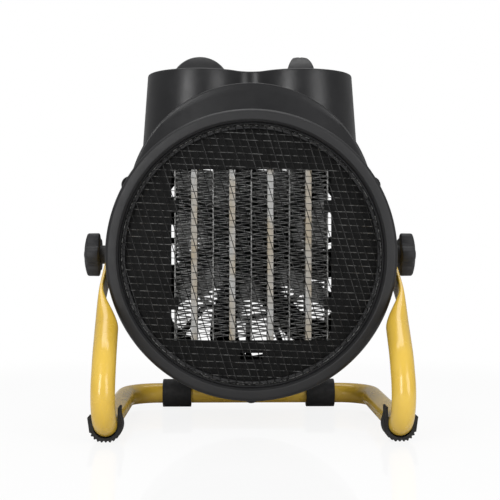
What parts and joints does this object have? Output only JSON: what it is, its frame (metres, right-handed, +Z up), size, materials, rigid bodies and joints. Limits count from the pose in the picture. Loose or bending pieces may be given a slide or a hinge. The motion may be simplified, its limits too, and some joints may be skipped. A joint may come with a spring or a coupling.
{
  "type": "industrial fan heater",
  "caption": "Portable drum fan heater with a folded-fin heating block behind a wire mesh, a twin-knob control pod on top and a tilting yellow tube stand",
  "frame": {"origin": "on the floor, under the centre of the object's box", "axes": "+Z up, the air outlet faces -Y, +X to the right seen from the front"},
  "size_m": [0.2498, 0.1987, 0.2772],
  "materials": {
    "yellow_paint": "gloss",
    "black_rubber": "matte",
    "black_housing": "satin, fine moulded texture",
    "mesh_steel": "satin",
    "black_plate": "matte",
    "black_screw": "satin",
    "fin_aluminium": "bright foil",
    "strip_ceramic": "matte",
    "motor_steel": "satin",
    "cream_plastic": "satin",
    "black_knob": "satin",
    "bush_brass": "turned",
    "screw_steel": "bright",
    "fan_plastic": "satin"
  },
  "bodies": {
    "stand": {"stand_tube": "yellow_paint", "front_foot_left": "black_rubber", "front_foot_right": "black_rubber", "rear_foot_left": "black_rubber", "rear_foot_right": "black_rubber"},
    "drum": {"pivot_washer_left": "black_rubber", "pivot_washer_right": "black_rubber", "drum_shell": "black_housing", "front_ring": "black_housing", "rear_grille": "black_housing", "control_pod": "black_housing", "pod_deck": "black_housing", "front_mesh": "mesh_steel", "baffle_plate": "black_plate", "block_bar_top": "black_plate", "block_bar_bottom": "black_plate", "housing_screw_1": "black_screw", "housing_screw_2": "black_screw", "housing_screw_3": "black_screw", "fin_divider_1": "fin_aluminium", "fin_divider_2": "fin_aluminium", "fin_divider_3": "fin_aluminium", "fin_divider_4": "fin_aluminium", "fin_divider_5": "fin_aluminium", "fin_column_1": "fin_aluminium", "fin_column_2": "fin_aluminium", "fin_column_3": "fin_aluminium", "fin_column_4": "fin_aluminium", "fin_column_5": "fin_aluminium", "fin_column_6": "fin_aluminium", "fin_column_7": "fin_aluminium", "fin_column_8": "fin_aluminium", "ceramic_strip_1": "strip_ceramic", "ceramic_strip_2": "strip_ceramic", "ceramic_strip_3": "strip_ceramic", "ceramic_strip_4": "strip_ceramic", "motor_body": "motor_steel", "motor_bracket": "motor_steel", "thermal_cutout": "cream_plastic", "selector_switch": "cream_plastic", "thermostat": "cream_plastic", "terminal_block": "cream_plastic", "cable_gland": "black_knob", "pivot_bush_left": "bush_brass", "pivot_bush_right": "bush_brass"},
    "fan": {"fan_wheel": "fan_plastic", "motor_shaft": "screw_steel"},
    "thermostat_knob": {"thermostat_knob": "black_knob", "thermostat_spindle": "screw_steel"},
    "selector_knob": {"selector_knob": "black_knob", "selector_spindle": "screw_steel"},
    "tilt_knob_left": {"tilt_knob_left": "black_knob", "tilt_stud_left": "screw_steel"},
    "tilt_knob_right": {"tilt_knob_right": "black_knob", "tilt_stud_right": "screw_steel"}
  },
  "joints": [
    {"name": "drum_tilt", "type": "hinge", "parent": "stand", "child": "drum", "pos_m": [0, 0.0183, 0.1245], "axis": [-1, 0, 0], "range_deg": [-25, 60]},
    {"name": "fan_spin", "type": "hinge", "parent": "drum", "child": "fan", "pos_m": [0, 0.0183, 0.1245], "axis": [0, 1, 0], "continuous": true},
    {"name": "thermostat_turn", "type": "hinge", "parent": "drum", "child": "thermostat_knob", "pos_m": [-0.0383, 0.0353, 0.2595], "axis": [0, 0, -1], "range_deg": [-90, 180]},
    {"name": "selector_turn", "type": "hinge", "parent": "drum", "child": "selector_knob", "pos_m": [0.0383, 0.0353, 0.2595], "axis": [0, 0, -1], "range_deg": [0, 180]},
    {"name": "tilt_knob_left_turn", "type": "hinge", "parent": "drum", "child": "tilt_knob_left", "pos_m": [-0.1125, 0.0183, 0.1245], "axis": [-1, 0, 0], "range_deg": [0, 360]},
    {"name": "tilt_knob_right_turn", "type": "hinge", "parent": "drum", "child": "tilt_knob_right", "pos_m": [0.1125, 0.0183, 0.1245], "axis": [1, 0, 0], "range_deg": [0, 360]}
  ]
}
